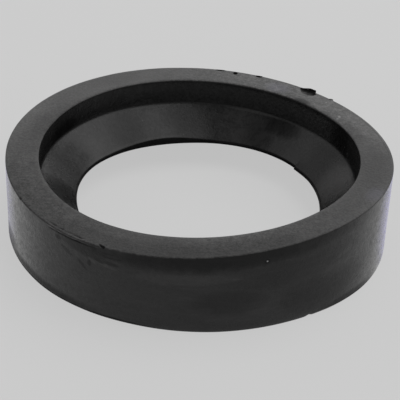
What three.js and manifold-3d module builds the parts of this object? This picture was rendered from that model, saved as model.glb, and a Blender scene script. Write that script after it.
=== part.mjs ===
// Toilet pan seal: one moulded ring of soft black rubber that lies between cistern and pan.
// A square-cut rim surrounds a round recess. From the recess floor a cone falls inwards to a
// thin lip, and underneath a second cone rises from a narrow flat land to the same lip.
// The ring is revolved about Z and stands on its land at z = 0. Lengths are in millimetres.

import * as THREE from "three";
import { mergeVertices } from "three/addons/utils/BufferGeometryUtils.js";
import Module from "manifold-3d";

// Section of the ring
const rimRadius = 52.5; // outside of the rim
const wallDraft = 0.15; // the outer wall is this much smaller in radius at the base
const height = 22.7; // base to the mean level of the rim
const rimWidth = 9.05; // flat top of the rim, outer edge to recess
const recessDepth = 7.2; // rim to the foot of the recess wall
const lipReach = 9.3; // recess wall to the lip's upper edge
const lipEdge = 1.1; // height of the lip's thin inner edge
const lipDraft = 0.3; // the edge leans inwards by this much on its way down
const lipHeight = 7.3; // base to the lip's lower edge
const landWidth = 3.6; // flat ring that the seal stands on

// Rounds of the section's corners
const rimRound = 0.35; // outer edge of the rim
const mouthRound = 0.5; // edge between rim and recess
const recessRound = 0.8; // foot of the recess wall
const lipRound = 0.25; // both edges of the lip
const landRound = 0.4; // both edges of the land

// The rim has warped: it leans as a whole and it waves twice round, while the base stays flat
const leanRise = 1.2; // how far the high side stands above the mean level
const leanAzimuth = 55; // azimuth of the high side, in degrees
const waveRise = 0.95; // height of the two crests above the mean level
const waveAzimuth = 137; // azimuth of one crest, in degrees

// The thin lip was trimmed by hand, so its edge waves in and out. times is the number of
// waves round the ring, swing the height of each and crest the azimuth of one, in degrees.
const lipWaves = [
  { times: 2, swing: 0.22, crest: 68 },
  { times: 3, swing: 0.35, crest: 44 },
  { times: 4, swing: 0.4, crest: 56 },
];

// Torn gate: where the runner broke away it left a stub outside the rim and a scar on its top
const stubStart = 54.8; // azimuth where the stub begins flush with the rim
const stubEnd = 49.5; // azimuth of its abrupt broken end
const stubProud = 0.95; // how far the broken end stands outside the rim
const stubRaise = 0.3; // top of the stub above the rim
const stubDepth = 2.4; // stub's foot below the rim
const stubRoot = 1.6; // how far the stub reaches into the rim
const stubFullness = 0.7; // under 1 the stub keeps its width for longer from the broken end
const scar = { azimuth: 51.6, inset: 1.7, along: 2.9, across: 1.75, deep: 0.9 };

// Small marks on the rim's edges. inset is measured inwards from the rim's outside, and
// along, across and deep are half sizes along the rim, across it and downwards.
const nib = { azimuth: 42.4, inset: 0.05, along: 0.65, across: 0.6, deep: 0.5 };
const nicks = [
  { azimuth: 83.8, inset: 0.55, along: 1, across: 0.4, deep: 0.5 },
  { azimuth: 78.5, inset: 1.1, along: 0.5, across: 0.6, deep: 0.6 },
  { azimuth: 70.5, inset: 0.4, along: 0.9, across: 0.45, deep: 0.5 },
  { azimuth: 210.5, inset: 0.1, along: 0.6, across: 0.4, deep: 0.5 },
  { azimuth: 244.8, inset: 0.2, along: 1.05, across: 0.42, deep: 0.5 },
];

// Fineness of the curved faces
const ringSegments = 144;
const roundSteps = 2;
const stubSteps = 6;
const markDetail = 1;

const rad = THREE.MathUtils.degToRad;
const recessRadius = rimRadius - rimWidth;
const lipRadius = recessRadius - lipReach;
const landRadius = rimRadius - wallDraft - landWidth;

// Height of the warped rim above its mean level at an azimuth in degrees
function rimRise(azimuth) {
  const lean = leanRise * Math.cos(rad(azimuth - leanAzimuth));
  const wave = waveRise * Math.cos(2 * rad(azimuth - waveAzimuth));
  return lean + wave;
}

// An arc that rounds one corner of an outline, kept within the sides that meet there
function roundedCorner(before, corner, after, radius) {
  const toBefore = before.clone().sub(corner);
  const toAfter = after.clone().sub(corner);
  const halfAngle = Math.acos(toBefore.dot(toAfter) / toBefore.length() / toAfter.length()) / 2;
  const longestTrim = 0.45 * Math.min(toBefore.length(), toAfter.length());
  const trim = Math.min(radius / Math.tan(halfAngle), longestTrim);
  const start = corner.clone().addScaledVector(toBefore.normalize(), trim);
  const end = corner.clone().addScaledVector(toAfter.normalize(), trim);
  const bisector = toBefore.add(toAfter).normalize();
  const centre = corner.clone().addScaledVector(bisector, trim / Math.cos(halfAngle));
  const startAngle = start.clone().sub(centre).angle();
  let sweep = end.clone().sub(centre).angle() - startAngle;
  if (sweep > Math.PI) sweep -= 2 * Math.PI;
  if (sweep < -Math.PI) sweep += 2 * Math.PI;
  const arcRadius = start.distanceTo(centre);
  const points = [];
  for (let step = 0; step <= roundSteps; step += 1) {
    const angle = startAngle + (sweep * step) / roundSteps;
    const x = centre.x + arcRadius * Math.cos(angle);
    const y = centre.y + arcRadius * Math.sin(angle);
    points.push(new THREE.Vector2(x, y));
  }
  return points;
}

// The ring's closed section: radius across, height upwards, from the base round by the rim
function sectionOutline() {
  const floorLevel = height - recessDepth;
  const corners = [
    { point: new THREE.Vector2(landRadius, 0), round: landRound },
    { point: new THREE.Vector2(rimRadius - wallDraft, 0), round: landRound },
    { point: new THREE.Vector2(rimRadius, height), round: rimRound },
    { point: new THREE.Vector2(recessRadius, height), round: mouthRound },
    { point: new THREE.Vector2(recessRadius, floorLevel), round: recessRound },
    { point: new THREE.Vector2(lipRadius, lipHeight + lipEdge), round: lipRound },
    { point: new THREE.Vector2(lipRadius - lipDraft, lipHeight), round: lipRound },
  ];
  const outline = corners.flatMap((corner, index) => {
    const before = corners.at(index - 1);
    const after = corners[(index + 1) % corners.length];
    return roundedCorner(before.point, corner.point, after.point, corner.round);
  });
  outline.push(outline[0].clone());
  return outline;
}

// How far the lip's edge lies outside its own circle at an azimuth in degrees
function lipShift(azimuth) {
  const shifts = lipWaves.map((wave) => wave.swing * Math.cos(wave.times * rad(azimuth - wave.crest)));
  return shifts.reduce((sum, shift) => sum + shift, 0);
}

// Moves every point with the lip's waves, in full at the lip and not at all from the recess
// wall outwards, and lifts it with the rim's warp, in full at the rim and not at the base
function warp(geometry) {
  const place = geometry.attributes.position;
  const point = new THREE.Vector3();
  for (let index = 0; index < place.count; index += 1) {
    point.fromBufferAttribute(place, index);
    const radius = Math.hypot(point.x, point.y);
    const azimuth = THREE.MathUtils.radToDeg(Math.atan2(point.y, point.x));
    const lipShare = THREE.MathUtils.clamp((recessRadius - radius) / lipReach, 0, 1);
    const swell = 1 + (lipShare * lipShift(azimuth)) / radius;
    const lift = (rimRise(azimuth) * point.z) / height;
    place.setXYZ(index, point.x * swell, point.y * swell, point.z + lift);
  }
  return geometry;
}

function ringGeometry() {
  const ring = new THREE.LatheGeometry(sectionOutline(), ringSegments);
  ring.rotateX(Math.PI / 2); // the lathe turns about Y
  return warp(ring);
}

// A flattened ball at the rim's level, for a nib or the cutter of a nick
function markGeometry(mark) {
  const ball = new THREE.IcosahedronGeometry(1, markDetail);
  ball.scale(mark.across, mark.along, mark.deep);
  ball.translate(rimRadius - mark.inset, 0, height + rimRise(mark.azimuth));
  ball.rotateZ(rad(mark.azimuth));
  return ball;
}

// The stub swells from nothing to its broken end, seen in plan, and stands a little above the rim
function stubGeometry() {
  const plan = new THREE.Shape();
  const rootRadius = rimRadius - stubRoot;
  plan.moveTo(rootRadius * Math.cos(rad(stubEnd)), rootRadius * Math.sin(rad(stubEnd)));
  for (let step = 0; step <= stubSteps; step += 1) {
    const share = step / stubSteps;
    const azimuth = rad(stubEnd + (stubStart - stubEnd) * share);
    const radius = rimRadius + stubProud * Math.cos((share * Math.PI) / 2) ** stubFullness;
    plan.lineTo(radius * Math.cos(azimuth), radius * Math.sin(azimuth));
  }
  plan.lineTo(rootRadius * Math.cos(rad(stubStart)), rootRadius * Math.sin(rad(stubStart)));
  const stub = new THREE.ExtrudeGeometry(plan, { depth: stubDepth + stubRaise, bevelEnabled: false });
  const rimLevel = height + rimRise((stubStart + stubEnd) / 2);
  stub.translate(0, 0, rimLevel - stubDepth);
  return stub;
}

const manifold = await Module();
manifold.setup();

function toSolid(geometry) {
  const bare = geometry.clone();
  bare.deleteAttribute("normal");
  bare.deleteAttribute("uv");
  const merged = mergeVertices(bare, 1e-4);
  const mesh = new manifold.Mesh({
    numProp: 3,
    vertProperties: merged.attributes.position.array,
    triVerts: Uint32Array.from(merged.index.array),
  });
  return new manifold.Manifold(mesh);
}

function toGeometry(solid) {
  const mesh = solid.getMesh();
  const geometry = new THREE.BufferGeometry();
  geometry.setAttribute("position", new THREE.BufferAttribute(mesh.vertProperties, 3));
  geometry.setIndex(new THREE.BufferAttribute(mesh.triVerts, 1));
  geometry.computeVertexNormals();
  return geometry;
}

function sealGeometry() {
  let solid = toSolid(ringGeometry()).add(toSolid(stubGeometry()));
  solid = solid.add(toSolid(markGeometry(nib)));
  for (const mark of [scar, ...nicks]) {
    solid = solid.subtract(toSolid(markGeometry(mark)));
  }
  return toGeometry(solid);
}

const rubber = new THREE.MeshStandardMaterial({ color: 0x2e2f31, roughness: 0.62, metalness: 0 });
const seal = new THREE.Mesh(sealGeometry(), rubber);
seal.name = "seal";

const panSeal = new THREE.Group();
panSeal.name = "pan_seal";
panSeal.add(seal);

export default panSeal;
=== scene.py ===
# Toilet pan seal: one moulded ring of black rubber, seen from above one side on a pale floor
import math

import bmesh
import bpy
from mathutils import Matrix, Vector, noise


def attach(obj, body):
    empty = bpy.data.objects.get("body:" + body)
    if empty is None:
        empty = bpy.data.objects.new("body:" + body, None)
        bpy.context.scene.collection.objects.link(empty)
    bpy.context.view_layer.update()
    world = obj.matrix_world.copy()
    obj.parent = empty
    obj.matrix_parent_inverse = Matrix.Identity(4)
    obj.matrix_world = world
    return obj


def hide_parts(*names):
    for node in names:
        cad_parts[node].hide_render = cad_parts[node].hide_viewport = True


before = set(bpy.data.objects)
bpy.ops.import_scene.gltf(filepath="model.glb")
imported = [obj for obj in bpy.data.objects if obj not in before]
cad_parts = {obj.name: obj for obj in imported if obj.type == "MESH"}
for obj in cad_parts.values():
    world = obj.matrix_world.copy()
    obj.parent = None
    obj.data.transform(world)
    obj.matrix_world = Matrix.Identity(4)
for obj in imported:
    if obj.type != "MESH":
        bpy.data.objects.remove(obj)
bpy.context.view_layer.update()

scene = bpy.context.scene
mm = 0.001


# The ring's section in millimetres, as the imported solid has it
ringSize = {
    "rimRadius": 52.5,
    "wallDraft": 0.15,
    "height": 22.7,
    "rimWidth": 9.05,
    "recessDepth": 7.2,
    "lipReach": 9.3,
    "lipEdge": 0.75,
    "lipDraft": 0.3,
    "lipHeight": 7.3,
    "landWidth": 3.6,
    "rimRound": 0.3,
    "mouthRound": 0.42,
    "recessRound": 0.8,
    "lipRound": 0.25,
    "landRound": 0.35,
    "roundSegments": 3,
    "markBand": 4.2,  # this close to the outer edge the rim and the wall are cut finer
    "fineFacet": 0.22,
    "coarseFacet": 1.2,
    "mergeGap": 0.001,  # points of the spin's seam that are closer than this become one
}

# Steps of the spin in degrees, and the arcs round the marks where it takes the fine one
spinSteps = {
    "coarse": 1.25,
    "fine": 0.25,
    "fineArcs": [(34, 59), (68, 86), (208, 213), (222, 247)],
}

# The ring is drawn a little smaller than the solid, and off its axis in millimetres, so that
# edges that stray outwards stay in the solid's box
fitted = {
    "share": 0.9935,
    "shift": (0.03, -0.14, 0),
}

# The warp of the rim, heights in millimetres and azimuths in degrees
warp = {
    "leanRise": 1.2,
    "leanAzimuth": 55,
    "waveRise": 0.95,
    "waveAzimuth": 137,
}

# How far each edge strays from its circle, in millimetres: one out of round series an edge,
# as (times round, swing, azimuth of the first crest), with the first entry a plain offset
wander = {
    "base": [(0, 0.16, 0), (1, 0.12, 338), (3, 0.08, 105), (5, 0.12, 322), (7, 0.14, 276)],
    "rimEdge": [(0, 0.1, 0), (1, 0.3, 148), (2, 0.17, 103), (3, 0.17, 1), (4, 0.22, 73)],
    "mouth": [(0, -0.12, 0), (1, 0.32, 50), (2, 0.16, 172), (3, 0.2, 63)],
    "foot": [(1, 0.36, 189), (2, 0.18, 97)],
    "lip": [(0, 0.05, 0), (1, 0.18, 18), (2, 0.12, 60), (3, 0.23, 43), (4, 0.46, 59)],
}

# The lip's edge is thicker over one arc, and a burr along it ends abruptly
lipShape = {
    "below": 9,  # the lip and the base are all below this level
    "thickAzimuth": 109,
    "thickHalf": 33,
    "thickExtra": 1.1,
    "burrStart": 20,
    "burrEnd": 35.7,
    "burrDeep": 0.55,
    "burrRoot": 1.2,
}

# The torn gate: a stub that swells outside the rim to a broken end, and a scar on top.
# The scar is an oval in millimetres along the edge and in from it, turned by its slant.
gate = {
    "start": 55,
    "end": 49.9,
    "proud": 0.95,
    "raise": 0.3,
    "raiseReach": 0.8,  # the raised top dies away this far below the rim
    "depth": 2.4,
    "root": 1.6,
    "swellRate": 1.6,
    "footShare": 0.35,  # share of the depth over which the stub's foot slopes
    "tornSwing": 0.3,
    "tornScale": 2.2,
    "scarAzimuth": 51.65,
    "scarInset": 1.2,
    "scarAlong": 2.95,
    "scarAcross": 2.2,
    "scarSlant": 0.26,
    "scarDeep": 0.6,
    "scarRag": 0.5,  # share by which the torn outline and floor vary
    "scarRagScale": 1.6,
    "scarMargin": 0.25,  # the rim's very edge isn't sunk
    "crumbDeep": 0.16,
    "crumbScale": 4,
}

# Marks on the rim's outer edge: azimuth, inset, half length, half width, depth (minus is proud)
edgeMarks = [
    (42.7, 0.05, 0.65, 0.7, -0.75),
    (83.9, 0.05, 1.3, 0.5, -0.18),
    (78.75, 1.25, 0.6, 0.75, 0.6),
    (70.45, 0.05, 1, 0.5, -0.3),
    (210.2, 0.1, 0.6, 0.4, 0.4),
    (244.7, 0.2, 0.9, 0.38, 0.35),
]
nickWiden = 0.2  # share of its width by which a nick also pushes the edge inwards

# Nick in the base's outer edge
baseNick = {
    "azimuth": 303.75,
    "half": 0.7,
    "deep": 0.5,
    "high": 1.2,
    "inner": 50.8,  # radius where it begins
    "slope": 1.2,
}

# A thread of flash on the front left edge between two grooves, and the waves of the faces
surface = {
    "flashStart": 224.5,
    "flashEnd": 244,
    "flashProud": 0.1,
    "grooveDeep": 0.16,
    "grooveWide": 0.3,
    "wallGroove": 0.85,
    "rimGroove": 0.85,
    "rimGrooveEnd": 240.5,
    "fadeIn": 3,  # degrees over which the flash and its grooves begin and end
    "wallFadeOut": 1.5,
    "rimFadeOut": 4,
    "driftSwing": 0.35,
    "driftScale": 0.3,
    "wholeShare": 0.65,  # the flash is broken where this share and its swing fall to nothing
    "brokenSwing": 1.3,
    "brokenScale": 0.8,
    "ridgeReach": 0.7,
    "outwardInset": 0.4,
    "upwardBelow": 0.3,
    "edgeRadius": 52,
    "waveDeep": 0.04,
    "waveLength": 9,
}


def clamp(value):
    return max(0.0, min(1.0, value))


def smooth(value):
    share = clamp(value)
    return share * share * (3 - 2 * share)


def cosOf(degrees):
    return math.cos(math.radians(degrees))


def rimRise(azimuth):
    lean = warp["leanRise"] * cosOf(azimuth - warp["leanAzimuth"])
    wave = warp["waveRise"] * cosOf(2 * (azimuth - warp["waveAzimuth"]))
    return lean + wave


def addSection(bm):
    s = ringSize
    recessRadius = s["rimRadius"] - s["rimWidth"]
    lipRadius = recessRadius - s["lipReach"]
    wallFoot = s["rimRadius"] - s["wallDraft"]
    bandRadius = s["rimRadius"] - s["markBand"]
    bandLevel = s["height"] - s["markBand"]
    bandWall = s["rimRadius"] - s["wallDraft"] * s["markBand"] / s["height"]
    corners = [
        (wallFoot - s["landWidth"], 0, s["landRound"]),
        (wallFoot, 0, s["landRound"]),
        (bandWall, bandLevel, 0),
        (s["rimRadius"], s["height"], s["rimRound"]),
        (bandRadius, s["height"], 0),
        (recessRadius, s["height"], s["mouthRound"]),
        (recessRadius, s["height"] - s["recessDepth"], s["recessRound"]),
        (lipRadius, s["lipHeight"] + s["lipEdge"], s["lipRound"]),
        (lipRadius - s["lipDraft"], s["lipHeight"], s["lipRound"]),
    ]
    verts = [bm.verts.new((radius, 0, level)) for radius, level, rounding in corners]
    bm.faces.new(verts)
    for vert, (radius, level, rounding) in zip(verts, corners):
        if rounding:
            arms = [edge.other_vert(vert).co - vert.co for edge in vert.link_edges]
            trim = rounding / math.tan(arms[0].angle(arms[1]) / 2)
            bmesh.ops.bevel(bm, geom=[vert], offset=trim, offset_type="OFFSET", affect="VERTICES",
                            segments=s["roundSegments"], profile=0.5, material=-1)
    bmesh.ops.delete(bm, geom=bm.faces[:], context="FACES_ONLY")
    for edge in bm.edges[:]:
        middle = (edge.verts[0].co + edge.verts[1].co) / 2
        inBand = middle.x > bandRadius and middle.z > bandLevel
        facet = s["fineFacet"] if inBand else s["coarseFacet"]
        cuts = int(edge.calc_length() / facet)
        if cuts:
            bmesh.ops.subdivide_edges(bm, edges=[edge], cuts=cuts)


def spinSection(bm):
    turns = []
    reached = 0
    for start, end in spinSteps["fineArcs"]:
        turns.append((start - reached, spinSteps["coarse"]))
        turns.append((end - start, spinSteps["fine"]))
        reached = end
    turns.append((360 - reached, spinSteps["coarse"]))
    front = bm.verts[:] + bm.edges[:]
    for angle, step in turns:
        spun = bmesh.ops.spin(bm, geom=front, cent=(0, 0, 0), axis=(0, 0, 1),
                              angle=math.radians(angle), steps=round(angle / step))
        front = spun["geom_last"]
    bmesh.ops.remove_doubles(bm, verts=bm.verts[:], dist=ringSize["mergeGap"])
    bmesh.ops.recalc_face_normals(bm, faces=bm.faces[:])


def stray(name, azimuth):
    return sum(swing * cosOf(times * (azimuth - crest)) for times, swing, crest in wander[name])


def strayAt(azimuth, radius, level):
    # outward shift of any point of the section, shared out between the edges round it
    s = ringSize
    recessRadius = s["rimRadius"] - s["rimWidth"]
    footLevel = s["height"] - s["recessDepth"]
    lip, foot, mouth = stray("lip", azimuth), stray("foot", azimuth), stray("mouth", azimuth)
    base, rimEdge = stray("base", azimuth), stray("rimEdge", azimuth)
    inner = lip + (foot - lip) * clamp((radius - recessRadius + s["lipReach"]) / s["lipReach"])
    inner += (mouth - foot) * clamp((level - footLevel) / s["recessDepth"])
    outer = base + (rimEdge - base) * clamp(level / s["height"])
    return inner + (outer - inner) * clamp((radius - recessRadius) / s["rimWidth"])


def ragged(azimuth, radius, level, scale):
    angle = math.radians(azimuth)
    place = Vector((radius * math.cos(angle), radius * math.sin(angle), level))
    return noise.noise(place * scale)


def gateShape(azimuth, inset, below):
    # outward and upward shift of a point near the torn gate
    g = gate
    share = (azimuth - g["end"]) / (g["start"] - g["end"])
    reach = clamp(1 - inset / g["root"])
    if not 0 <= share <= 1 or not reach or below > g["depth"]:
        return 0, 0
    swell = smooth(g["swellRate"] * (1 - share)) * reach
    foot = smooth((g["depth"] - below) / (g["footShare"] * g["depth"]))
    torn = 1 + g["tornSwing"] * ragged(azimuth, inset, below, g["tornScale"])
    upward = g["raise"] * swell * torn * clamp(1 - below / g["raiseReach"])
    return g["proud"] * swell * foot * torn, upward


def scarShape(azimuth, inset, below):
    g = gate
    along = math.radians(azimuth - g["scarAzimuth"]) * ringSize["rimRadius"]
    across = inset - g["scarInset"] + g["scarSlant"] * along
    rag = 1 + g["scarRag"] * ragged(azimuth, inset, below, g["scarRagScale"])
    spread = ((along / g["scarAlong"]) ** 2 + (across / g["scarAcross"]) ** 2) * rag
    if spread >= 1 or below > g["scarDeep"] or inset < g["scarMargin"]:
        return 0
    floor = g["scarDeep"] * math.sqrt(1 - spread)
    crumbs = g["crumbDeep"] * ragged(azimuth, inset, below, g["crumbScale"])
    return max(0, floor - below + crumbs)


def edgeMarkShape(azimuth, inset, below):
    # inward and downward shift of a point at one of the small marks
    for place, markInset, half, width, deep in edgeMarks:
        along = math.radians(azimuth - place) * ringSize["rimRadius"] / half
        if abs(along) >= 1:
            continue
        room = math.sqrt(1 - along * along)
        across = (inset - markInset) / width
        depth = below / abs(deep)
        if deep > 0 and math.hypot(across, depth) < room:
            push = room - math.hypot(across, depth)
            return push * width * nickWiden, push * deep
        if deep < 0 and inset < width and below < 2 * abs(deep):
            return deep * room * clamp(1 - inset / width) * clamp(2 - depth), 0
    return 0, 0


def flashShape(azimuth, inset, below):
    # outward and upward shift along the flash: a fine ridge between two grooves
    f = surface
    start = smooth((azimuth - f["flashStart"]) / f["fadeIn"])
    wallEnds = start * smooth((f["flashEnd"] - azimuth) / f["wallFadeOut"])
    rimEnds = start * smooth((f["rimGrooveEnd"] - azimuth) / f["rimFadeOut"])
    if not wallEnds:
        return 0, 0
    drift = f["driftSwing"] * ragged(azimuth, f["edgeRadius"], 0, f["driftScale"])
    ragging = f["brokenSwing"] * ragged(azimuth, f["edgeRadius"], 0, f["brokenScale"])
    broken = clamp(f["wholeShare"] + ragging)
    wallGroove = smooth(1 - abs(below - f["wallGroove"] - drift) / f["grooveWide"])
    rimGroove = smooth(1 - abs(inset - f["rimGroove"] - drift) / f["grooveWide"])
    ridge = clamp(1 - (inset + below) / f["ridgeReach"])
    outward = wallEnds * broken * (f["flashProud"] * ridge - f["grooveDeep"] * wallGroove)
    upward = broken * (wallEnds * f["flashProud"] * ridge - rimEnds * f["grooveDeep"] * rimGroove)
    return (outward if inset < f["outwardInset"] else 0), (upward if below < f["upwardBelow"] else 0)


def burrShape(azimuth, radius, level):
    # inward shift of the lip's edge, where a burr narrows the hole and ends in a step
    share = (azimuth - lipShape["burrStart"]) / (lipShape["burrEnd"] - lipShape["burrStart"])
    fromEdge = radius - ringSize["rimRadius"] + ringSize["rimWidth"] + ringSize["lipReach"]
    if share > 1 or level > lipShape["below"]:
        return 0
    return lipShape["burrDeep"] * smooth(share) * clamp(1 - fromEdge / lipShape["burrRoot"])


def lipThickening(azimuth):
    away = abs(azimuth - lipShape["thickAzimuth"]) / lipShape["thickHalf"]
    return lipShape["thickExtra"] * smooth(1 - away)


def nickShape(azimuth, radius, level):
    # upward shift at the nick in the base's outer edge
    n = baseNick
    along = math.radians(azimuth - n["azimuth"]) * radius / n["half"]
    fromInner = clamp((radius - n["inner"]) / n["slope"])
    return n["deep"] * smooth(1 - abs(along)) * clamp(1 - level / n["high"]) * fromInner


def shapePoint(vert):
    # the plain spun point, in section coordinates, gets its marks and then the warp
    s = ringSize
    radius = math.hypot(vert.co.x, vert.co.y)
    level = vert.co.z
    azimuth = math.degrees(math.atan2(vert.co.y, vert.co.x)) % 360
    rise = rimRise(azimuth) * level / s["height"]
    inset = s["rimRadius"] - radius
    below = s["height"] - level
    lipShare = clamp((s["rimRadius"] - s["rimWidth"] - radius) / s["lipReach"])
    upper = clamp((level - s["lipHeight"]) / s["lipEdge"])
    newRadius = radius + strayAt(azimuth, radius, level) - burrShape(azimuth, radius, level)
    newLevel = level + lipShare * upper * lipThickening(azimuth)
    if inset < s["markBand"] and below < s["markBand"]:
        outward, upward = gateShape(azimuth, inset, below)
        inward, downward = edgeMarkShape(azimuth, inset, below)
        ridgeOut, ridgeUp = flashShape(azimuth, inset, below)
        newRadius += outward - inward + ridgeOut
        newLevel += upward - downward + ridgeUp - scarShape(azimuth, inset, below)
    elif level < lipShape["below"]:
        newLevel += nickShape(azimuth, radius, level)
    angle = math.radians(azimuth)
    vert.co = (newRadius * math.cos(angle), newRadius * math.sin(angle), newLevel + rise)


def makeRing():
    bm = bmesh.new()
    addSection(bm)
    spinSection(bm)
    section = bm.verts.layers.float_vector.new("section")
    for vert in bm.verts:
        vert[section] = (math.hypot(vert.co.x, vert.co.y), vert.co.z, 0)
        shapePoint(vert)
    wave = surface["waveLength"]
    for vert in bm.verts:
        swell = noise.noise(vert.co / wave) - 1
        vert.co += vert.normal * surface["waveDeep"] * swell
    bmesh.ops.scale(bm, vec=Vector((mm, mm, mm)) * fitted["share"], verts=bm.verts[:])
    bmesh.ops.translate(bm, vec=Vector(fitted["shift"]) * mm, verts=bm.verts[:])
    mesh = bpy.data.meshes.new("rubberRing")
    bm.to_mesh(mesh)
    bm.free()
    mesh.shade_smooth()
    ring = bpy.data.objects.new("rubberRing", mesh)
    scene.collection.objects.link(ring)
    print("ring spun:", len(mesh.polygons), "faces")
    return ring


# Shader maths: a wire is one socket, and sums of wires add their Math nodes
class Wire:
    def __init__(self, shader, socket):
        self.shader = shader
        self.socket = socket

    def calc(self, operation, *values):
        return self.shader.node("ShaderNodeMath", {"operation": operation}, dict(enumerate(values)))

    def __add__(self, other):
        return self.calc("ADD", self, other)

    def __sub__(self, other):
        return self.calc("SUBTRACT", self, other)

    def __rsub__(self, other):
        return self.calc("SUBTRACT", other, self)

    def __mul__(self, other):
        return self.calc("MULTIPLY", self, other)

    def __truediv__(self, other):
        return self.calc("DIVIDE", self, other)

    def power(self, other):
        return self.calc("POWER", self, other)

    def larger(self, other):
        return self.calc("MAXIMUM", self, other)

    def smaller(self, other):
        return self.calc("MINIMUM", self, other)

    __radd__ = __add__
    __rmul__ = __mul__


class Shader:
    def __init__(self, owner):
        owner.use_nodes = True
        self.tree = owner.node_tree
        self.tree.nodes.clear()

    def node(self, kind, settings=None, inputs=None, output=0):
        made = self.tree.nodes.new(kind)
        for name, value in (settings or {}).items():
            setattr(made, name, value)
        for name, value in (inputs or {}).items():
            if isinstance(value, Wire):
                self.tree.links.new(value.socket, made.inputs[name])
            else:
                made.inputs[name].default_value = value
        return Wire(self, made.outputs[output] if made.outputs else None)

    def split(self, vector):
        made = self.node("ShaderNodeSeparateXYZ", {}, {0: vector}).socket.node
        return [Wire(self, output) for output in made.outputs]

    def ramp(self, value, low, high, lowTo=0.0, highTo=1.0):
        return self.node("ShaderNodeMapRange", {"interpolation_type": "SMOOTHSTEP"},
                         {"Value": value, "From Min": low, "From Max": high,
                          "To Min": lowTo, "To Max": highTo})

    def noise(self, place, scale, detail, roughness):
        return self.node("ShaderNodeTexNoise", {},
                         {"Vector": place, "Scale": scale, "Detail": detail, "Roughness": roughness})

    def mixColour(self, factor, first, second):
        made = self.tree.nodes.new("ShaderNodeMix")
        made.data_type = "RGBA"
        for name, value in (("Factor_Float", factor), ("A_Color", first), ("B_Color", second)):
            socket = next(item for item in made.inputs if item.identifier == name)
            if isinstance(value, Wire):
                self.tree.links.new(value.socket, socket)
            else:
                socket.default_value = value
        output = next(item for item in made.outputs if item.identifier == "Result_Color")
        return Wire(self, output)


# The rubber: colours, roughness and gloss by face of the ring
rubberLook = {
    "wallColour": (0.0035, 0.0035, 0.0036, 1),
    "rimColour": (0.004, 0.004, 0.0041, 1),
    "coneColour": (0.0095, 0.0095, 0.0096, 1),
    "recessColour": (0.005, 0.005, 0.005, 1),
    # pale colour of the dust, also used for the painted highlights and the painted light
    "dustAndPaintedLightColour": (0.1, 0.098, 0.097, 1),
    # painted sheen: a lilac tint in the colour where the wall's ends and two rim spots catch a
    # bluish sheen
    "lilacSheenColour": (0.16, 0.155, 0.22, 1),
    "lilacWall": 0.7,  # share of the painted sheen tint that the wall leaves to the haze
    "haze": 0.42,
    "hazeRough": 0.3,
    "hazeGain": 2,
    "hazeColour": (0.35, 0.3, 1, 1),
    # near black of the dark marks and of the painted shade
    "markAndShadeColour": (0.002, 0.002, 0.002, 1),
    "speckColour": (0.45, 0.45, 0.45, 1),
    "wallRough": 0.33,
    "rimRough": 0.55,
    "coneRough": 0.3,
    "recessRough": 0.22,
    "gloss": 1.3,  # index of refraction of the rubber and of the thin bloom on it
    "bloomRough": 0.16,
    "wallBloom": 0.9,
    "rimBloom": 0.25,
    "coneBloom": 0.15,
}

# Where one face gives way to the next, as radius or level from and to, in millimetres
faceEdges = {
    "rimBelow": (0.3, 0.03),  # below the top of the rim
    "wallRadius": (51.85, 52.1),
    "sunkRadius": (43.9, 43.5),
    "recessLevel": (15.6, 16),
    "coneRadius": (43.3, 42.9),
    "coneLevel": (7.65, 7.95),  # at the cone's inner radius
    "coneInner": 34.25,
    "coneClimb": 0.15,  # the level climbs outwards by this much a millimetre
    "lipRadius": (34.5, 34.3),
    "lipLevel": (8.35, 8.1),
}

# Noises of the finish, as (scale per millimetre, detail, roughness)
noises = {
    "cloud": (0.11, 3, 0.55),
    "mottle": (0.42, 4, 0.65),
    "streak": (1.0, 4, 0.6),
    "fleck": (1.15, 2, 0.6),
    "grain": (2.1, 2, 0.6),
    "grit": (0.9, 3, 0.7),
}
streakStretch = (0.13, 0.13, 0.85)  # squeezes the streaks' place, so that they lie level
noiseMiddle = 0.5

# The part of each noise's range that is spread over 0 to 1
spans = {
    "blotches": (0.36, 0.64),
    "flecks": (0.36, 0.64),
    "grains": (0.38, 0.62),
    "grit": (0.42, 0.6),
    "dust": (0.4, 0.62),
    "streaks": (0.48, 0.72),
}

# How far from its middle a mark fades out, and where it is full, as shares of its half sizes
markEdges = {
    "sharp": (1.2, 0.75),
    "plain": (1.25, 0.35),
    "soft": (1.6, 0.0),
}

# How strongly the noises roughen the outlines of the marks
outlineRag = {"mottle": 2.2, "fleck": 1.2, "soft": 1.2, "dark": 0.6, "light": 0.7, "seam": 0.4}

# Shares of dust, and of the painted highlights and painted light that take its pale colour. A pair
# is a share all over and a further one on the rim.
dustAndPaintedLightShares = {
    "cloud": 0.4,
    "mottle": 0.6,
    "all": 0.04,
    "rim": 0.14,
    "cone": 0.04,
    "flecks": (0.034, 0.24),
    "grains": (0.034, 0.22),
    "grit": (0.08, 0.24),
    "light": 0.35,
    "paintedLight": 0.6,
    "streaks": 0.06,
}

# How much each noise or mark changes the roughness, the bloom and the relief
roughSwing = {"mottle": 0.35, "fleck": 0.3, "streak": 0.35, "lilacSheen": 0.3}
bloomSwing = {
    "most": 1.38,
    "blotches": 0.2,
    "flecks": 0.32,
    "grains": 0.34,
    "grit": 0.3,
    "lilacSheen": 0.4,
}
reliefSwing = {"mottle": 1.1, "fleck": 0.9, "grain": 0.35, "torn": 2}
bumpSet = {"Strength": 0.5, "Distance": 0.00016}

# Painted shade: how far the recess wall, the lip and the pits are darkened, and how far the dark
# marks on the wall are deepened
hollowShade = {
    "recessLevels": (21.5, 16.5),
    "recess": 0.26,
    "flecks": 0.18,
    "grains": 0.2,
    "blotches": 0.1,
    "cone": 0.04,
    "darkWall": 0.5,
    "lip": 0.7,
    "edgeBelow": (0.8, 0.5),  # pits of the rim's edge fade out this far below the top
}

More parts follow.
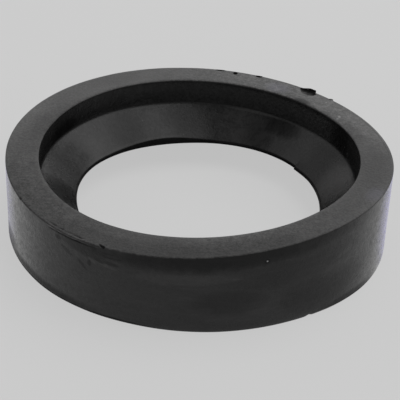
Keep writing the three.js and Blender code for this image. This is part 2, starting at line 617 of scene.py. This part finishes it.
# Soft marks by kind and face, as (azimuth, level or radius, half length, half height, slant,
# strength). Rim and cone marks give the radius, wall and recess marks the level.
rubberMarks = {
    "dark": {
        "wall": [
            (239.6, 20.2, 8, 2.1, -0.12, 0.3),
            (229.9, 20.4, 1.1, 0.9, 0, 0.4),
            (238.3, 15.3, 1.7, 0.8, -0.9, 0.33),
            (240.8, 16.4, 0.6, 1.1, 0, 0.4),
            (243.6, 18.2, 1.7, 0.65, -0.4, 0.38),
            (247.2, 18.1, 2.6, 0.6, -0.1, 0.34),
            (247.8, 19.9, 3.2, 0.35, 0.05, 0.45),
            (246.5, 21, 2, 0.25, 0, 0.5),
            (233, 17.6, 2.2, 0.7, -0.5, 0.26),
            (289.3, 19.6, 0.7, 0.8, 0, 0.6),
            (235, 21.85, 9, 0.3, 0, 0.85),
        ],
        "rim": [
            (48.6, 44.4, 3.2, 1.7, 0, 0.85),
            (232, 51.65, 7, 0.24, 0, 0.6),
            (15, 51.6, 16, 0.16, 0, 0.6),
        ],
        "cone": [
            (156.5, 40.4, 2.6, 1.3, 0, 0.5),
            (153.2, 36.8, 2.6, 1.2, 0, 0.5),
        ],
    },
    # paler marks, some of them painted highlights, such as the line along the lip's edge on the cone
    "light": {
        "wall": [
            (269, 16, 15, 1.7, 0, 0.25),
            (247.5, 19.1, 3, 0.4, -0.15, 0.3),
            (246, 17.1, 3.2, 0.5, -0.2, 0.35),
            (241.6, 17.6, 1.2, 0.6, -0.6, 0.4),
            (236.6, 17.4, 1, 1.4, -0.8, 0.3),
            (280.9, 15.7, 1.1, 0.24, 0, 0.5),
            (326.5, 3.3, 0.5, 0.28, 0, 0.6),
            (315, 14.8, 3.6, 0.8, 0.2, 0.3),
            (312, 11.4, 5, 1.8, 0.1, 0.2),
        ],
        "rim": [
            (236, 52.35, 7, 0.22, 0, 0.3),
            (246.1, 46.2, 2.4, 1.3, 0, 0.25),
            (269, 46.5, 2.5, 0.5, 0.6, 0.25),
            (274, 49.5, 2.5, 0.5, 0.6, 0.22),
        ],
        "cone": [
            (140, 34.6, 30, 0.4, 0, 0.3),
            (146, 37.6, 5, 3, 0, 0.18),
            (105.8, 36.5, 2.6, 1, 0, 0.15),
        ],
    },
    "paintedLight": {  # painted light: broad and faint pools where more light falls, paler
        "rim": [
            (30, 50, 26, 4.4, 0, 0.27),
            (18, 51.6, 9, 2, 0, 0.4),
            (165, 51.2, 20, 2.2, 0, 0.26),
            (74, 49.8, 9, 3, 0, 0.12),
        ],
        "cone": [
            (74, 38.5, 6, 6, 0, 0.13),
            (5, 38.5, 8, 6, 0, 0.5),
        ],
    },
    # painted sheen tint at the wall's ends and two rim spots; on the wall it also drives the sheen,
    # lower roughness and more gloss
    "lilacSheen": {
        "wall": [(347, 14, 12, 16, 0, 0.42), (192, 14, 11, 16, 0, 0.42)],
        "rim": [(61.3, 47.5, 4, 3.4, 0, 0.16), (334, 50.5, 4, 2.4, 0, 0.14)],
    },
    "gritty": {  # where the grit stands out
        "wall": [(212, 13, 18, 12, 0, 0.8), (322, 14, 12, 9, 0, 0.5)],
        "rim": [(48, 48.5, 46, 7, 0, 1), (214, 48, 26, 7, 0, 0.7), (296, 46.5, 26, 5, 0, 0.6)],
    },
    "shade": {  # painted shade: broad places darkened where less light falls, the thin ones along the wall's foot too
        "wall": [
            (280, 21.6, 38, 3.8, 0, 0.52),
            (298, 16, 20, 6.5, 0, 0.24),
            (280, 9, 10, 4, 0, 0.25),
            (308, 7, 15, 6, 0, 0.28),
            (215, 0.9, 24, 2.2, 0, 0.55),
            (195, 1, 9, 3.5, 0, 0.62),
            (198, 3.2, 7, 3, 0, 0.5),
            (201, 0.8, 7, 1.4, 0, 0.6),
            (218, 0.3, 28, 0.7, 0, 0.8),
            (247, 0.3, 11, 0.7, 0, 0.7),
            (319, 0.5, 12, 1.6, 0, 0.5),
            (320, 0.2, 12, 0.6, 0, 0.7),
            (224, 1.8, 1.8, 0.7, 0, 0.5),
            (214, 1.4, 1, 0.5, 0, 0.5),
        ],
        "rim": [
            (252, 50.5, 56, 5, 0, 0.36),
            (180, 49.5, 9, 4, 0, 0.12),
            (232, 45, 34, 3.5, 0, 0.24),
            (322, 46.5, 24, 5, 0, 0.18),
            (352, 47, 17, 6, 0, 0.26),
            (14, 45, 12, 2.5, 0, 0.2),
            (98, 46, 15, 4.5, 0, 0.12),
            (116, 49.5, 30, 5, 0, 0.13),
            (20, 45, 16, 3, 0, 0.1),
            (165, 45.3, 20, 2.6, 0, 0.15),
        ],
        "cone": [
            (54, 41.6, 7, 3, 0, 0.62),
            (63, 38, 5, 5, 0, 0.2),
            (92, 38.5, 10, 6.5, 0, 0.3),
            (125, 38, 6, 6, 0, 0.2),
            (168, 37.5, 13, 7, 0, 0.36),
            (187, 38, 8, 6, 0, 0.6),
        ],
        "recess": [
            (23, 18.5, 7, 4.5, 0, 0.62),
            (155, 17, 9, 2.8, 0, 0.6),
        ],
    },
}
# Pits on the rim's outer edge, painted near black as the shade in them
rimPitShades = [
    (83.9, 52.1, 1.6, 0.62, 0, 1),
    (78.75, 51.2, 0.7, 0.95, 0, 0.96),
    (70.6, 52.1, 1.1, 0.95, 0, 1),
    (42.7, 52.2, 0.6, 0.5, 0, 0.5),
    (244.6, 52.0, 1.05, 0.36, 0.35, 0.85),
    (210, 52.3, 0.6, 0.4, 0, 0.3),
]

# The torn scar's look, its darkness partly dark torn rubber and partly painted shade, darker towards
# the outer edge, and the thin light line where cone and recess meet at the rear right
scarLook = {
    "rag": 0.9,
    "edge": (1.25, 0.85),
    "levels": (20.2, 21.2),
    "darkRadius": (49.8, 52.1),
    "darkness": (0.4, 0.94),
}
seamLine = {"mark": (68, 43.15, 9, 0.3, 0, 1), "levels": (17.5, 16.8), "strength": 0.5}

# Specks of dust seen in the photograph, as (azimuth, level or radius, radius, strength), and
# finer ones strewn over the ring
wallSpecks = [(289.3, 19.6, 0.25, 1), (18.3, 18, 0.22, 0.6), (15, 17.3, 0.2, 0.5)]
rimSpecks = [(30.6, 46.4, 0.5, 0.35), (29.6, 45.2, 0.4, 0.2), (42, 49.6, 0.35, 0.2)]
strewnSpecks = {
    "scale": 0.24,
    "edge": (0.045, 0.02),
    "chosen": (0.72, 0.76),  # only cells whose random red is past this have a speck
    "strength": 0.2,
}


class RubberPlaces:
    # wires for where a point lies on the ring, in millimetres and degrees, and on which face
    def __init__(self, shader):
        self.shader = shader
        place = shader.node("ShaderNodeTexCoord", {}, {}, "Object")
        self.point = shader.node("ShaderNodeVectorMath", {"operation": "SCALE"},
                                 {0: place, "Scale": 1 / mm})
        east, north = shader.split(self.point)[:2]
        self.turn = north.calc("ARCTAN2", north, east) * math.degrees(1)
        self.azimuth = self.turn.calc("FLOORED_MODULO", self.turn, 360.0)
        section = shader.node("ShaderNodeAttribute", {"attribute_name": "section"}, {}, "Vector")
        self.radius, self.level = shader.split(section)[:2]
        ramp = shader.ramp
        edges = faceEdges
        rimFoot, rimTop = (ringSize["height"] - below for below in edges["rimBelow"])
        rim = ramp(self.level, rimFoot, rimTop)
        sunk = ramp(self.radius, *edges["sunkRadius"]) * (1 - rim)
        climbed = self.level - (self.radius - edges["coneInner"]) * edges["coneClimb"]
        self.faces = {
            "rim": rim,
            "wall": ramp(self.radius, *edges["wallRadius"]) * (1 - rim),
            "recess": sunk * ramp(self.level, *edges["recessLevel"]),
            "cone": ramp(self.radius, *edges["coneRadius"]) * ramp(climbed, *edges["coneLevel"]),
            "lip": ramp(self.radius, *edges["lipRadius"]) * ramp(self.level, *edges["lipLevel"]),
        }

    def spots(self, height, marks, rag, edge="plain"):
        # the strongest of a list of soft oval marks, their outlines roughened by the rag wire
        outer, inner = markEdges[edge]
        total = None
        for azimuth, middle, half, high, slant, strength in marks:
            reach = math.radians(1) * (middle if height is self.radius else ringSize["rimRadius"])
            front = 90 < azimuth < 270
            away = self.azimuth - azimuth if front else self.turn - (azimuth + 180) % 360 + 180
            along = away * reach
            across = (height - middle - along * slant) / high
            spread = (along / half).power(2.0) + across.power(2.0) + rag
            mask = self.shader.ramp(spread, outer, inner) * strength
            total = mask if total is None else mask.larger(total)
        return total

    def marked(self, kind, rag, edge="plain"):
        # all marks of one kind, each kept to its own face
        total = None
        for face, marks in rubberMarks[kind].items():
            height = self.radius if face in ("rim", "cone") else self.level
            mask = self.spots(height, marks, rag, edge) * self.faces[face]
            total = mask if total is None else mask.larger(total)
        return total

    def scar(self, fleck):
        # the torn scar, the same slanted oval as in the mesh
        along = (self.azimuth - gate["scarAzimuth"]) * math.radians(ringSize["rimRadius"])
        across = ringSize["rimRadius"] - gate["scarInset"] - self.radius + along * gate["scarSlant"]
        spread = (along / gate["scarAlong"]).power(2.0) + (across / gate["scarAcross"]).power(2.0)
        spread = spread + (fleck - noiseMiddle) * scarLook["rag"]
        onTop = self.shader.ramp(self.level, *scarLook["levels"])
        return self.shader.ramp(spread, *scarLook["edge"]) * onTop

    def specks(self):
        # dust specks, some seen in the photograph and some strewn
        s = strewnSpecks
        speck = self.spots(self.level, [(a, h, r, r, 0, s) for a, h, r, s in wallSpecks], 0.0)
        rimSpeck = self.spots(self.radius, [(a, h, r, r, 0, s) for a, h, r, s in rimSpecks], 0.0)
        speck = speck.larger(rimSpeck * self.faces["rim"])
        cellInputs = {"Vector": self.point, "Scale": s["scale"]}
        cells = self.shader.node("ShaderNodeTexVoronoi", {}, cellInputs).socket.node
        chosen = self.shader.split(Wire(self.shader, cells.outputs["Color"]))[0]
        strewn = self.shader.ramp(Wire(self.shader, cells.outputs["Distance"]), *s["edge"])
        strewn = strewn * self.shader.ramp(chosen, *s["chosen"])
        return speck.larger(strewn * s["strength"] * (1 - self.faces["recess"]))


def makeRubber():
    look = rubberLook
    material = bpy.data.materials.new("blackRubber")
    shader = Shader(material)
    at = RubberPlaces(shader)
    ramp = shader.ramp
    rim, wall, recess, cone = (at.faces[name] for name in ("rim", "wall", "recess", "cone"))

    # mottle of centimetres and millimetres, level streaks on the wall, flecks and the grain
    cloud = shader.noise(at.point, *noises["cloud"])
    mottle = shader.noise(at.point, *noises["mottle"])
    flat = shader.node("ShaderNodeVectorMath", {"operation": "MULTIPLY"},
                       {0: at.point, 1: streakStretch})
    streak = shader.noise(flat, *noises["streak"])
    fleck = shader.noise(at.point, *noises["fleck"])
    grain = shader.noise(at.point, *noises["grain"])
    blotches = ramp(mottle, *spans["blotches"])
    flecks = ramp(fleck, *spans["flecks"])
    grains = ramp(grain, *spans["grains"])
    streaks = ramp(streak, *spans["streaks"])

    # the marks, with ragged outlines
    rag = (mottle - noiseMiddle) * outlineRag["mottle"] + (fleck - noiseMiddle) * outlineRag["fleck"]
    softRag = (mottle - noiseMiddle) * outlineRag["soft"]
    dark = at.marked("dark", rag * outlineRag["dark"])
    light = at.marked("light", rag * outlineRag["light"])
    # painted light, pooled on the rim and the cone
    paintedLight = at.marked("paintedLight", softRag, "soft")
    lilacSheen = at.marked("lilacSheen", softRag, "soft")
    # painted shade over broad places of every face
    shade = at.marked("shade", softRag, "soft")
    grit = ramp(shader.noise(at.point, *noises["grit"]), *spans["grit"]) - noiseMiddle
    grit = grit * at.marked("gritty", softRag, "soft")
    seam = at.spots(at.radius, [seamLine["mark"]], rag * outlineRag["seam"])
    light = light.larger(seam * ramp(at.level, *seamLine["levels"]) * seamLine["strength"])

    # painted shade, near black: the pits, the torn scar, the lip's edge, the recess and broad
    # places, with the dark marks on the wall deepened
    torn = at.scar(fleck)
    edgeLow, edgeHigh = (ringSize["height"] - below for below in hollowShade["edgeBelow"])
    shadeAndDarkMarks = at.spots(at.radius, rimPitShades, fleck - noiseMiddle, "sharp")
    shadeAndDarkMarks = shadeAndDarkMarks * ramp(at.level, edgeLow, edgeHigh)
    # the torn scar: dark torn rubber and painted shade, darker towards its outer edge
    shadeAndDarkMarks = shadeAndDarkMarks.larger(torn * ramp(at.radius, *scarLook["darkRadius"], *scarLook["darkness"]))
    shadeAndDarkMarks = shadeAndDarkMarks.larger(dark * wall * hollowShade["darkWall"])
    # painted shade along the lip's edge
    shadeAndDarkMarks = shadeAndDarkMarks.larger(at.faces["lip"] * hollowShade["lip"])
    # painted shade in the recess, darker towards its foot, with random flecks and grain
    sunkShade = ramp(at.level, *hollowShade["recessLevels"]) * hollowShade["recess"]
    sunkShade = sunkShade + flecks * hollowShade["flecks"] + grains * hollowShade["grains"]
    sunkShade = sunkShade + blotches * hollowShade["blotches"]
    sunkShade = sunkShade * recess + (flecks + grains) * cone * hollowShade["cone"]
    shadeAndDarkMarks = shadeAndDarkMarks.larger(shade + sunkShade * (1 - shade))

    body = shader.mixColour(rim, look["wallColour"], look["rimColour"])
    body = shader.mixColour(cone, body, look["coneColour"])
    body = shader.mixColour(recess, body, look["recessColour"])
    d = dustAndPaintedLightShares
    dusty = ramp(cloud * d["cloud"] + mottle * d["mottle"], *spans["dust"])
    dustAndPaintedLightShare = dusty * (d["all"] + rim * d["rim"] + cone * d["cone"])
    dustAndPaintedLightShare = dustAndPaintedLightShare + flecks * (d["flecks"][0] + rim * d["flecks"][1])
    dustAndPaintedLightShare = dustAndPaintedLightShare + grains * (d["grains"][0] + rim * d["grains"][1])
    # the light marks, partly painted highlights, and the pools of painted light take the dust's pale
    # colour
    dustAndPaintedLightShare = dustAndPaintedLightShare + light * d["light"] + paintedLight * d["paintedLight"] + wall * streaks * d["streaks"]
    dustAndPaintedLightShare = dustAndPaintedLightShare + grit * (d["grit"][0] + rim * d["grit"][1])
    body = shader.mixColour(dustAndPaintedLightShare, body, look["dustAndPaintedLightColour"])
    # painted sheen: the lilac tint, most of it left to the real sheen on the wall
    body = shader.mixColour(lilacSheen * (1 - wall * look["lilacWall"]), body, look["lilacSheenColour"])
    body = shader.mixColour(dark, body, look["markAndShadeColour"])
    body = shader.mixColour(at.specks(), body, look["speckColour"])

    rough = look["wallRough"] + rim * (look["rimRough"] - look["wallRough"])
    rough = rough + cone * (look["coneRough"] - look["wallRough"])
    rough = rough + recess * (look["recessRough"] - look["wallRough"])
    rough = rough + (mottle - noiseMiddle) * roughSwing["mottle"]
    rough = rough + (fleck - noiseMiddle) * roughSwing["fleck"]
    rough = rough + wall * (streak - noiseMiddle) * roughSwing["streak"]
    rough = rough - lilacSheen * wall * roughSwing["lilacSheen"]

    b = bloomSwing
    evenness = b["most"] - blotches * b["blotches"] - flecks * b["flecks"] - grains * b["grains"]
    bloom = wall * look["wallBloom"] + rim * look["rimBloom"] + cone * look["coneBloom"]
    bloom = bloom * (1 - dark) * (evenness + grit * b["grit"])
    bloom = bloom + lilacSheen * wall * b["lilacSheen"]

    relief = mottle * reliefSwing["mottle"] + fleck * reliefSwing["fleck"]
    relief = relief + grain * reliefSwing["grain"] + torn * grain * reliefSwing["torn"]
    bump = shader.node("ShaderNodeBump", {}, {**bumpSet, "Height": relief})
    finish = {
        "Base Color": body, "Roughness": rough, "IOR": look["gloss"], "Normal": bump,
        "Coat Weight": bloom.smaller(1.0), "Coat IOR": look["gloss"],
        "Coat Roughness": look["bloomRough"],
    }
    haze = {
        "Sheen Weight": look["haze"], "Sheen Roughness": look["hazeRough"],
        "Sheen Tint": look["hazeColour"],
    }
    plain = shader.node("ShaderNodeBsdfPrincipled", {}, finish)
    hazed = shader.node("ShaderNodeBsdfPrincipled", {}, {**finish, **haze})
    hazeShare = (lilacSheen * wall * look["hazeGain"]).smaller(1.0)
    rubber = shader.node("ShaderNodeMixShader", {}, {0: hazeShare, 1: plain, 2: hazed})
    # near black mixed in for the painted shade and the dark marks
    shadeBlack = shader.node("ShaderNodeBsdfDiffuse", {}, {"Color": look["markAndShadeColour"]})
    surfaces = shader.node("ShaderNodeMixShader", {}, {0: shadeAndDarkMarks, 1: rubber, 2: shadeBlack})
    shader.node("ShaderNodeOutputMaterial", {}, {"Surface": surfaces})
    return material


ring = makeRing()
ring.data.materials.append(makeRubber())
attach(ring, "root")
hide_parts("seal")
print("rubber finished")

# Floor and background, both the photo's pale grey
backdrop = {
    "grey": (0.604, 0.604, 0.604, 1),
    "lit": (0.66, 0.66, 0.66, 1),
    "shadowShare": 0.16,  # how much of the lit floor, and so of its shadow, the camera sees
    "floorSize": 6,
    "skyHeights": (0.35, 0.95),  # from just over the horizon to near the zenith
    "skyStrengths": (0.604, 0.2),
}


def seenRay(shader):
    rays = shader.node("ShaderNodeLightPath", {}, {}, "Is Camera Ray")
    outputs = rays.socket.node.outputs
    glossy = Wire(shader, outputs["Is Glossy Ray"])
    through = Wire(shader, outputs["Is Transmission Ray"])
    return rays.larger(glossy).larger(through)


def makeFloor():
    material = bpy.data.materials.new("palePaper")
    shader = Shader(material)
    lit = shader.node("ShaderNodeBsdfDiffuse", {}, {"Color": backdrop["lit"]})
    plain = shader.node("ShaderNodeEmission", {}, {"Color": backdrop["grey"], "Strength": 1})
    share = seenRay(shader) * (1 - backdrop["shadowShare"])
    mixed = shader.node("ShaderNodeMixShader", {}, {0: share, 1: lit, 2: plain})
    shader.node("ShaderNodeOutputMaterial", {}, {"Surface": mixed})
    bm = bmesh.new()
    bmesh.ops.create_grid(bm, x_segments=1, y_segments=1, size=backdrop["floorSize"] / 2)
    mesh = bpy.data.meshes.new("floor")
    bm.to_mesh(mesh)
    bm.free()
    mesh.materials.append(material)
    floor = bpy.data.objects.new("floor", mesh)
    scene.collection.objects.link(floor)


def makeWorld():
    world = bpy.data.worlds.new("studio")
    scene.world = world
    shader = Shader(world)
    height = shader.split(shader.node("ShaderNodeTexCoord", {}, {}, "Generated"))[2]
    strength = shader.ramp(height, *backdrop["skyHeights"], *backdrop["skyStrengths"])
    sky = shader.node("ShaderNodeBackground", {}, {"Color": (1, 1, 1, 1), "Strength": strength})
    shader.node("ShaderNodeOutputWorld", {}, {"Surface": sky})


# Softboxes: name, centre, size, radiance. Each one faces the ring.
softboxes = [
    ("overRight", (0.42, 0.12, 0.72), (0.85, 0.95), 1.95),
    ("overLeft", (-0.72, 0.22, 0.62), (0.4, 0.7), 0.7),
    ("behind", (0.12, 1.05, 0.55), (1.3, 0.55), 1.2),
]


def makeLights():
    for name, centre, (width, depth), radiance in softboxes:
        light = bpy.data.lights.new(name, "AREA")
        light.shape = "RECTANGLE"
        light.size = width
        light.size_y = depth
        light.energy = radiance * math.pi * width * depth
        lamp = bpy.data.objects.new(name, light)
        lamp.location = centre
        lamp.rotation_euler = Vector(centre).to_track_quat("Z", "Y").to_euler()
        lamp.visible_camera = False
        scene.collection.objects.link(lamp)


# The photograph's camera: place and aim in millimetres, angles in degrees
cameraSet = {
    "elevation": 31.04,
    "distance": 353.1,
    "aim": (0.612, 0, 7.208),
    "roll": 2.27,
    "lens": 112.98,
    "sensor": 36,
}


def makeCamera():
    c = cameraSet
    elevation = math.radians(c["elevation"])
    away = Vector((0, -math.cos(elevation), math.sin(elevation))) * c["distance"]
    look = (Vector(c["aim"]) - away).to_track_quat("-Z", "Y").to_matrix().to_4x4()
    place = (away * fitted["share"] + Vector(fitted["shift"])) * mm
    camera = bpy.data.objects.new("camera", bpy.data.cameras.new("camera"))
    camera.data.lens = c["lens"]
    camera.data.sensor_width = c["sensor"]
    roll = Matrix.Rotation(math.radians(c["roll"]), 4, "Z")
    camera.matrix_world = Matrix.Translation(place) @ look @ roll
    scene.collection.objects.link(camera)
    scene.camera = camera


makeFloor()
makeWorld()
makeLights()
makeCamera()
scene.view_settings.view_transform = "Standard"
print("studio set")
